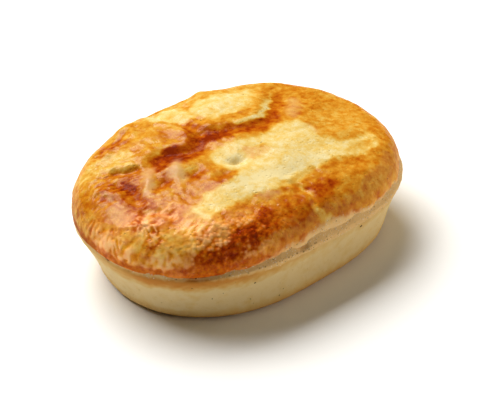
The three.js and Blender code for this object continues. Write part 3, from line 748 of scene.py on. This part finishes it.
casePoints, caseFaces = caseMesh()
casePaint = paintCase(casePoints)
casePoints[:, :2] -= pie["middle"]
pastryShell = meshPiece("pastryShell", casePoints, caseFaces, casePaint)
caseSkin = noiseSum(caseCrust["lumps"], *casePoints.T)
caseSkin += casePaint["raw"] * noiseSum(caseCrust["rawLumps"], *casePoints.T)
swell(pastryShell, casePoints, caseSkin * smoothStep(casePoints[:, 2], *caseCrust["lumpsStart"]))
print("case shaped:", len(casePoints), "points")


# ---- materials

def setInput(tree, socket, value):
    if isinstance(value, bpy.types.NodeSocket):
        tree.links.new(value, socket)
    else:
        socket.default_value = value


def newNode(tree, kind, x, y, *given, **values):
    # given values fill the sockets in order; of the named ones, small letters are settings and capitals
    # are sockets; each is a constant or another node's socket
    node = tree.nodes.new(kind)
    node.location = (x, y)
    for key, value in values.items():
        if key[0].islower():
            setattr(node, key, value)
    for socket, value in zip(node.inputs, given):
        setInput(tree, socket, value)
    for key, value in values.items():
        if key[0].isupper():
            setInput(tree, node.inputs[key.replace("_", " ")], value)
    return node


def newMath(tree, operation, x, y, *given):
    return newNode(tree, "ShaderNodeMath", x, y, *given, operation=operation).outputs[0]


def addSockets(tree, kind, way, values):
    for name, value in values.items():
        socket = tree.interface.new_socket(name=name, in_out=way, socket_type="NodeSocket" + kind)
        if value is not None:
            socket.default_value = value


def ownColor(color, exposure):
    # a colour as it looks on a screen, made linear, and the share of it that is the crust's own
    linear = [(v / 255 / 12.92) if v < 11 else ((v / 255 + 0.055) / 1.055) ** 2.4 for v in color]
    return [v * exposure for v in linear]


def buildCrustGrain():
    # mottling, fine grain and small dark pits, for every crust
    tree = bpy.data.node_groups.new("crustGrain", "ShaderNodeTree")
    addSockets(tree, "Vector", "INPUT", {"Place": None})
    addSockets(tree, "Float", "INPUT", {"Mottle Scale": 300.0, "Grain Scale": 1400.0, "Pit Scale": 700.0,
                                        "Pit Size": 0.2, "Pit Rarity": 0.6})
    addSockets(tree, "Float", "OUTPUT", dict.fromkeys(("Mottle", "Grain", "Pits", "Height")))
    source = newNode(tree, "NodeGroupInput", -900, 0).outputs
    place = source["Place"]
    mottle = newNode(tree, "ShaderNodeTexNoise", -500, 300, Vector=place, Scale=source["Mottle Scale"],
                     Detail=5.0, Roughness=0.62).outputs["Fac"]
    grain = newNode(tree, "ShaderNodeTexNoise", -500, 0, Vector=place, Scale=source["Grain Scale"],
                    Detail=3.0, Roughness=0.7).outputs["Fac"]
    pits = newNode(tree, "ShaderNodeTexVoronoi", -500, -300, Vector=place, Scale=source["Pit Scale"]).outputs
    chosen = newMath(tree, "GREATER_THAN", -200, -450, pits["Color"], source["Pit Rarity"])
    near = newNode(tree, "ShaderNodeMapRange", -200, -200, interpolation_type="SMOOTHSTEP",
                   Value=pits["Distance"], From_Max=source["Pit Size"], To_Min=1.0, To_Max=0.0)
    pitted = newMath(tree, "MULTIPLY", 100, -300, chosen, near.outputs["Result"])
    rough = newMath(tree, "MULTIPLY_ADD", 100, 100, grain, 0.4, mottle)
    newNode(tree, "NodeGroupOutput", 900, 0, Mottle=newMath(tree, "SUBTRACT", -200, 300, mottle, 0.5),
            Grain=grain, Pits=pitted, Height=newMath(tree, "SUBTRACT", 400, 0, rough, pitted))
    return tree


crustGrain = buildCrustGrain()


def addGrain(tree, scales):
    place = newNode(tree, "ShaderNodeTexCoord", -1150, -550).outputs["Object"]
    return newNode(tree, "ShaderNodeGroup", -900, -550, node_tree=crustGrain, Place=place, **scales).outputs


def addPaint(tree, *names):
    # masks that were painted on the points
    return [newNode(tree, "ShaderNodeAttribute", -900, 300 - 200 * row, attribute_name=name).outputs["Fac"]
            for row, name in enumerate(names)]


def addMix(tree, x, y, share, low, high):
    # mixes two colours, each a socket or a plain colour
    low, high = (color if isinstance(color, bpy.types.NodeSocket) else (*color, 1) for color in (low, high))
    mix = newNode(tree, "ShaderNodeMix", x, y, data_type="RGBA", Factor=share, A=low, B=high)
    return mix.outputs["Result"]


def addRamp(tree, x, y, level, stops):
    ramp = newNode(tree, "ShaderNodeValToRGB", x, y, Fac=level)
    elements = ramp.color_ramp.elements
    while len(elements) > len(stops):
        elements.remove(elements[-1])
    for number, (place, color) in enumerate(stops):
        element = elements[number] if number < len(elements) else elements.new(place)
        element.position = place
        element.color = (*color, 1)
    return ramp.outputs["Color"]


def startMaterial(name):
    material = bpy.data.materials.new(name)
    material.use_nodes = True
    material.node_tree.nodes.clear()
    return material, material.node_tree


def addShader(tree, **values):
    shader = newNode(tree, "ShaderNodeBsdfPrincipled", 1400, 0, **values)
    newNode(tree, "ShaderNodeOutputMaterial", 1700, 0, Surface=shader.outputs["BSDF"])


def addBump(tree, grain, bump):
    return newNode(tree, "ShaderNodeBump", 1100, -400, Height=grain["Height"], **bump).outputs["Normal"]


glaze = {
    "palette": [(0.0, (254, 234, 172)), (0.15, (248, 212, 120)), (0.3, (240, 187, 80)),
                (0.45, (232, 160, 46)), (0.6, (216, 130, 22)), (0.75, (198, 101, 12)),
                (0.88, (176, 70, 8)), (1.0, (142, 44, 6))],
    # colour of the painted pinkish highlight on ridges and standing skin
    "roseSheen": (238, 190, 140),
    "raw": (236, 194, 132),
    "rawPit": (150, 108, 58),
    "exposure": 0.66,  # share of the seen colour that is the crust's own
    "mottle": 0.6, "grain": 0.3,
    "paintedLight": 0.6,  # how much brighter the painted glow makes the crust
    "coat": 0.22, "darkCoat": 0.06, "darkFrom": 0.6, "darkTo": 0.85,
    "finish": {"Roughness": 0.6, "Specular_IOR_Level": 0.0, "Coat_Roughness": 0.18},
    "scales": {"Mottle_Scale": 340.0, "Grain_Scale": 1500.0, "Pit_Scale": 800.0, "Pit_Size": 0.42},
    "bump": {"Strength": 0.5, "Distance": 0.0004},
}


def buildGlaze():
    material, tree = startMaterial("glazedCrust")
    bake, roseSheen, bare, paintedLight = addPaint(tree, "bake", "roseSheen", "bare", "paintedLight")
    grain = addGrain(tree, glaze["scales"])
    mottled = newMath(tree, "MULTIPLY_ADD", -450, 300, grain["Mottle"], glaze["mottle"], bake)
    grainy = newMath(tree, "MULTIPLY_ADD", -450, 100, grain["Grain"], glaze["grain"], -0.5 * glaze["grain"])
    darkened = newMath(tree, "ADD", -300, 200, mottled, grainy)
    own = {key: ownColor(glaze[key], glaze["exposure"]) for key in ("roseSheen", "raw", "rawPit")}
    crust = addRamp(tree, -100, 300, darkened,
                    [(at, ownColor(color, glaze["exposure"])) for at, color in glaze["palette"]])
    # the painted pinkish highlight is mixed over the browned crust
    brown = addMix(tree, 200, 300, roseSheen, crust, own["roseSheen"])
    raw = addMix(tree, 200, 0, grain["Pits"], own["raw"], own["rawPit"])
    color = addMix(tree, 600, 200, bare, brown, raw)
    # the painted light brightens the crust's colour
    brighter = newMath(tree, "MULTIPLY_ADD", 600, 600, paintedLight, glaze["paintedLight"], 1.0)
    tone = newNode(tree, "ShaderNodeHueSaturation", 900, 300, Color=color, Value=brighter)
    coat = newNode(tree, "ShaderNodeMapRange", 900, -100, interpolation_type="SMOOTHSTEP", Value=bake,
                   From_Min=glaze["darkFrom"], From_Max=glaze["darkTo"],
                   To_Min=glaze["coat"], To_Max=glaze["darkCoat"])
    addShader(tree, Base_Color=tone.outputs["Color"], Coat_Weight=coat.outputs["Result"],
              Normal=addBump(tree, grain, glaze["bump"]), **glaze["finish"])
    return material


shortcrust = {
    "pale": (237, 201, 132), "cream": (242, 213, 154), "golden": (228, 174, 92), "caramel": (208, 134, 50),
    "raw": (236, 192, 128), "pit": (144, 100, 50),
    # the raw dough keeps a larger share of its seen colour: painted light that lifts the shade in the fillet
    # under the lid
    "exposure": 0.86, "rawPaintedLightExposure": 0.93,
    "stops": ((0.0, "cream"), (0.14, "pale"), (0.5, "golden"), (1.0, "caramel")),
    "finish": {"Roughness": 0.8, "Specular_IOR_Level": 0.15},
    "scales": {"Mottle_Scale": 260.0, "Grain_Scale": 1900.0, "Pit_Scale": 760.0, "Pit_Size": 0.42},
    "bump": {"Strength": 0.3, "Distance": 0.0003},
    "mottle": 0.5, "pits": 0.08, "pitsOnRaw": 0.85,  # pitsOnRaw is what raw dough has more of
}


def buildShellPastry():
    material, tree = startMaterial("bareShortcrust")
    toast, raw = addPaint(tree, "toast", "raw")
    grain = addGrain(tree, shortcrust["scales"])
    amount = newMath(tree, "MULTIPLY_ADD", -450, 300, grain["Mottle"], shortcrust["mottle"], toast)
    stops = [(at, ownColor(shortcrust[key], shortcrust["exposure"])) for at, key in shortcrust["stops"]]
    crust = addRamp(tree, -200, 300, amount, stops)
    dough = addMix(tree, 200, 300, raw, crust, ownColor(shortcrust["raw"], shortcrust["rawPaintedLightExposure"]))
    share = newMath(tree, "MULTIPLY_ADD", -200, -100, raw, shortcrust["pitsOnRaw"], shortcrust["pits"])
    pitted = newMath(tree, "MULTIPLY", 200, -100, share, grain["Pits"])
    color = addMix(tree, 600, 200, pitted, dough, ownColor(shortcrust["pit"], shortcrust["exposure"]))
    addShader(tree, Base_Color=color, Normal=addBump(tree, grain, shortcrust["bump"]), **shortcrust["finish"])
    return material


glazedLid.data.materials.append(buildGlaze())
pastryShell.data.materials.append(buildShellPastry())


# ---- crumbs on the raw edge, and specks of browned flour, strewn with Geometry Nodes

crumbs = {"Density": 7.8e5, "Smallest": 0.08, "Largest": 0.26, "Squash": 0.6, "Seed": 7}
specks = {"Density": 1.2e4, "Smallest": 0.06, "Largest": 0.17, "Squash": 0.3, "Seed": 3}
darkBits = {
    # photographed bits: place from the middle of the rim, and size, in millimetres
    "places": [(20.1, -43, 17.8, 0.62), (-26.9, -41.8, 15.1, 0.42), (-27.6, -40.1, 7.8, 0.24),
               (-16.3, -42, 4.7, 0.3), (-15, -42.4, 7.3, 0.2), (3.9, -43.8, 23.4, 0.26),
               (-3.3, -44.5, 19.5, 0.24), (23.7, -43.2, 21.9, 0.26), (37.2, -38, 27.6, 0.24),
               (-61, -6.5, 20.4, 0.4), (-39.9, -35.3, 11, 0.26), (-37.3, -37.5, 13.4, 0.18),
               (-50.6, -30.2, 21.4, 0.22), (-46.4, -33, 17.3, 0.26), (-45.6, -33.7, 21.3, 0.3),
               (25.1, 27, 36.8, 0.26), (1.2, 22, 37.3, 0.28), (7.4, -3.8, 38, 0.26)],
    "settings": {"Squash": 0.35, "Seed": 5, "Placed": True},
}
bits = {
    # colour as it looks, darkest share of it, and roughness
    "paleCrumb": ((252, 232, 196), 0.8, 0.85),
    "bakedSpeck": ((72, 40, 18), 0.6, 0.8),
    "toastedSpeck": ((150, 104, 56), 0.6, 0.8),
    "lightest": 0.97, "specular": 0.15,
    "scales": {"Mottle_Scale": 900.0},
    "bump": {"Strength": 0.2, "Distance": 0.0002},
    "lumps": 900.0, "bend": 1.4 * mm, "width": 0.75,  # scale of the lumps, how far they bend a ball
}
# shares of the density on each crust; specks on the case keep off its underside
crumbShares = {"lidBare": 0.6, "caseRaw": 1}
speckShares = {"lidBare": 18, "caseRaw": 18, "case": 0.8, "standing": (0.5, 1.5)}


def strewTree(material):
    # bits scattered by the "strew" share, or one at each given point, bent and squashed balls all the same
    tree = bpy.data.node_groups.new("strewnBits", "GeometryNodeTree")
    addSockets(tree, "Geometry", "INPUT", {"Geometry": None})
    addSockets(tree, "Float", "INPUT", {"Density": 1e5, "Smallest": 0.1, "Largest": 0.3, "Squash": 0.5})
    addSockets(tree, "Int", "INPUT", {"Seed": 1})
    addSockets(tree, "Bool", "INPUT", {"Placed": False})
    addSockets(tree, "Geometry", "OUTPUT", {"Geometry": None})
    source = newNode(tree, "NodeGroupInput", -900, 0).outputs
    base, seed = source["Geometry"], source["Seed"]

    def named(key, kind, x, y):
        stored = newNode(tree, "GeometryNodeInputNamedAttribute", x, y, data_type=kind, Name=key)
        return stored.outputs["Attribute"]

    def chosen(kind, x, y, scattered, given):
        sockets = {"Switch": source["Placed"], "False": scattered, "True": given}
        return newNode(tree, "GeometryNodeSwitch", x, y, input_type=kind, **sockets).outputs["Output"]

    def random(kind, x, y, **limits):
        drawn = newNode(tree, "FunctionNodeRandomValue", x, y, data_type=kind, Seed=seed, **limits)
        return drawn.outputs["Value"]

    dense = newMath(tree, "MULTIPLY", -400, -200, source["Density"], named("strew", "FLOAT", -700, -300))
    spread = newNode(tree, "GeometryNodeDistributePointsOnFaces", -100, 0,
                     Mesh=base, Density=dense, Seed=seed).outputs
    given = newNode(tree, "GeometryNodeMeshToPoints", -100, -300, Mesh=base).outputs["Points"]
    points = chosen("GEOMETRY", 200, 0, spread["Points"], given)
    facing = chosen("VECTOR", 200, -700, spread["Normal"], named("lay", "FLOAT_VECTOR", -100, -700))
    stand = newNode(tree, "FunctionNodeAlignRotationToVector", 400, -700, axis="Z", Vector=facing)
    turn = random("FLOAT_VECTOR", 400, -500, Max=(0, 0, fullTurn))
    turned = newNode(tree, "FunctionNodeRotateRotation", 700, -200, rotation_space="LOCAL",
                     Rotation=stand.outputs["Rotation"], Rotate_By=turn)
    ball = newNode(tree, "GeometryNodeMeshIcoSphere", -400, 400, Radius=mm, Subdivisions=1)
    lumps = newNode(tree, "ShaderNodeTexNoise", -400, 600, Scale=bits["lumps"])
    centred = newNode(tree, "ShaderNodeVectorMath", -200, 600, lumps.outputs["Color"], (0.5, 0.5, 0.5),
                      operation="SUBTRACT")
    bent = newNode(tree, "ShaderNodeVectorMath", 0, 600, centred.outputs[0],
                   operation="SCALE", Scale=bits["bend"])
    shaped = newNode(tree, "GeometryNodeSetPosition", 200, 400,
                     Geometry=ball.outputs["Mesh"], Offset=bent.outputs[0])
    flat = newNode(tree, "ShaderNodeCombineXYZ", 200, 700, X=1.0, Y=bits["width"], Z=source["Squash"])
    bit = newNode(tree, "GeometryNodeTransform", 400, 400,
                  Geometry=shaped.outputs["Geometry"], Scale=flat.outputs[0])
    size = random("FLOAT", 400, -300, Min=source["Smallest"], Max=source["Largest"])
    laid = newNode(tree, "GeometryNodeInstanceOnPoints", 900, 0, Points=points,
                   Instance=bit.outputs["Geometry"], Rotation=turned.outputs["Rotation"],
                   Scale=chosen("FLOAT", 600, -900, size, named("bit", "FLOAT", 100, -900)))
    solid = newNode(tree, "GeometryNodeRealizeInstances", 1100, 0, Geometry=laid.outputs["Instances"])
    painted = newNode(tree, "GeometryNodeSetMaterial", 1300, 0,
                      Geometry=solid.outputs["Geometry"], Material=material)
    newNode(tree, "NodeGroupOutput", 1500, 0, Geometry=painted.outputs["Geometry"])
    return tree


def growBits(name, base, settings, material):
    # runs the tree on the base piece and keeps only what it strews
    modifier = base.modifiers.new(name, "NODES")
    modifier.node_group = strewTree(material)
    for item in modifier.node_group.interface.items_tree:
        if item.item_type == "SOCKET" and item.in_out == "INPUT" and item.name in settings:
            modifier[item.identifier] = settings[item.name]
    bpy.context.view_layer.update()
    shaped = base.evaluated_get(bpy.context.evaluated_depsgraph_get())
    mesh = bpy.data.meshes.new_from_object(shaped)
    mesh.name = name
    bpy.data.objects.remove(base)
    print(name, "strewn:", len(mesh.polygons), "faces")
    return newObject(name, mesh)


def buildBits(name):
    color, darkest, roughness = bits[name]
    material, tree = startMaterial(name)
    grain = addGrain(tree, bits["scales"])
    tone = addMix(tree, 0, 100, grain["Grain"], ownColor(color, darkest), ownColor(color, bits["lightest"]))
    addShader(tree, Base_Color=tone, Normal=addBump(tree, grain, bits["bump"]),
              Roughness=roughness, Specular_IOR_Level=bits["specular"])
    return material


crusts = (glazedLid, pastryShell)
crustPoints = [vectorsOf(piece.data.vertices, "co").astype(float) / mm for piece in crusts]
crustFaces = [[tuple(face.vertices) for face in piece.data.polygons] for piece in crusts]


def strewnGround(name, *shares):
    # both crusts as one surface, with the share of the density at each point
    faces = crustFaces[0] + [tuple(corner + len(crustPoints[0]) for corner in face) for face in crustFaces[1]]
    return meshPiece(name, np.vstack(crustPoints), faces, {"strew": np.concatenate(shares)})


def darkBitGround():
    # the point of either crust that is nearest to each photographed bit, and the way the crust faces there
    points = np.vstack(crustPoints)
    normals = np.vstack([vectorsOf(piece.data.vertex_normals, "vector") for piece in crusts])
    wanted = np.array([place[:3] for place in darkBits["places"]]) - [*pie["middle"], 0]
    chosen = [int(np.argmin(np.square(points - place).sum(1))) for place in wanted]
    ground = meshPiece("bitGround", points[chosen], [], {"bit": [place[3] for place in darkBits["places"]]})
    ground.data.attributes.new("lay", "FLOAT_VECTOR", "POINT").data.foreach_set(
        "vector", normals[chosen].astype(np.float32).ravel())
    return ground


crumbGround = strewnGround("crumbGround", crumbShares["lidBare"] * lidPaint["bare"],
                           crumbShares["caseRaw"] * casePaint["raw"])
rimCrumbs = growBits("rimCrumbs", crumbGround, crumbs, buildBits("paleCrumb"))
bakedBits = growBits("bakedBits", darkBitGround(), darkBits["settings"], buildBits("bakedSpeck"))
standing = smoothStep(crustPoints[1][:, 2], *speckShares["standing"])
speckGround = strewnGround("speckGround", speckShares["lidBare"] * lidPaint["bare"],
                           (speckShares["case"] + speckShares["caseRaw"] * casePaint["raw"]) * standing)
bakedSpecks = growBits("bakedSpecks", speckGround, specks, buildBits("toastedSpeck"))


# ---- floor, light and camera

table = {"half": 3, "color": (0.885, 0.89, 0.885), "finish": {"Roughness": 0.9, "Specular_IOR_Level": 0.1}}
studio = {
    # directions from the pie in degrees, distances and sizes in metres
    "backSoftbox": {"azimuth": 92, "elevation": 54, "distance": 1.0, "size": (1.0, 0.6),
                    "power": 20.5, "color": (1.0, 0.985, 0.96)},
    "sideFill": {"azimuth": 325, "elevation": 20, "distance": 1.0, "size": (1.4, 0.7),
                 "power": 4.7, "color": (1.0, 0.895, 0.71)},
    "sky": {"color": (1.0, 0.89, 0.7), "strength": 0.04},
}
photoView = {
    "azimuth": -129.4946, "elevation": 34.8426, "distance": 0.55,
    "target": (-0.0008092, -0.0013032, 0.011335),
    "focalPixels": 1524.777, "middlePixel": (237.3686, 207.7045), "frame": (480, 400), "sensor": 36.0,
}


def layTable():
    half = table["half"]
    mesh = bpy.data.meshes.new("tableTop")
    corners = [(-half, -half, 0), (half, -half, 0), (half, half, 0), (-half, half, 0)]
    mesh.from_pydata(corners, [], [(0, 1, 2, 3)])
    material, tree = startMaterial("paleTable")
    addShader(tree, Base_Color=(*table["color"], 1), **table["finish"])
    mesh.materials.append(material)
    return newObject("tableTop", mesh)


def faceTarget(thing, values):
    # puts a lamp or camera in its direction from its target, which it looks at
    azimuth, elevation = math.radians(values["azimuth"]), math.radians(values["elevation"])
    back = Vector((math.cos(elevation) * math.cos(azimuth), math.cos(elevation) * math.sin(azimuth),
                   math.sin(elevation)))
    thing.location = Vector(values.get("target", (0, 0, 0))) + back * values["distance"]
    thing.rotation_mode = "QUATERNION"
    thing.rotation_quaternion = back.to_track_quat("Z", "Y")


def addSoftbox(name):
    lamp = bpy.data.lights.new(name, "AREA")
    lamp.shape = "RECTANGLE"
    lamp.size, lamp.size_y = studio[name]["size"]
    lamp.energy, lamp.color = studio[name]["power"], studio[name]["color"]
    faceTarget(newObject(name, lamp), studio[name])


def addSky():
    # a weak warm sky for the pie, and plain white behind it for the camera
    world = bpy.data.worlds.new("studioAir")
    bpy.context.scene.world = world
    world.use_nodes = True
    tree = world.node_tree
    tree.nodes.clear()
    air = newNode(tree, "ShaderNodeBackground", 0, 0, Color=(*studio["sky"]["color"], 1),
                  Strength=studio["sky"]["strength"])
    seenAir = newNode(tree, "ShaderNodeBackground", 0, -200, Color=(1, 1, 1, 1), Strength=1.0)
    paths = newNode(tree, "ShaderNodeLightPath", 0, 300)
    choice = newNode(tree, "ShaderNodeMixShader", 300, 0, paths.outputs["Is Camera Ray"],
                     air.outputs[0], seenAir.outputs[0])
    newNode(tree, "ShaderNodeOutputWorld", 600, 0, Surface=choice.outputs[0])


def addPhotoCamera():
    width, height = photoView["frame"]
    middle = photoView["middlePixel"]
    data = bpy.data.cameras.new("photoCamera")
    camera = newObject("photoCamera", data)
    faceTarget(camera, photoView)
    data.sensor_width = photoView["sensor"]
    data.lens = photoView["focalPixels"] / width * photoView["sensor"]
    data.shift_x = (width / 2 - middle[0]) / width
    data.shift_y = (middle[1] - height / 2) / width
    data.clip_start, data.clip_end = 0.01, 20
    bpy.context.scene.camera = camera


tableTop = layTable()
addSoftbox("backSoftbox")
addSoftbox("sideFill")
addSky()
bpy.context.scene.view_settings.view_transform = "Standard"
addPhotoCamera()
print("stage set")

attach(glazedLid, "root")
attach(pastryShell, "root")
for strewn in (rimCrumbs, bakedBits, bakedSpecks):
    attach(strewn, "root")
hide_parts("pastry_lid")
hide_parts("pastry_case")
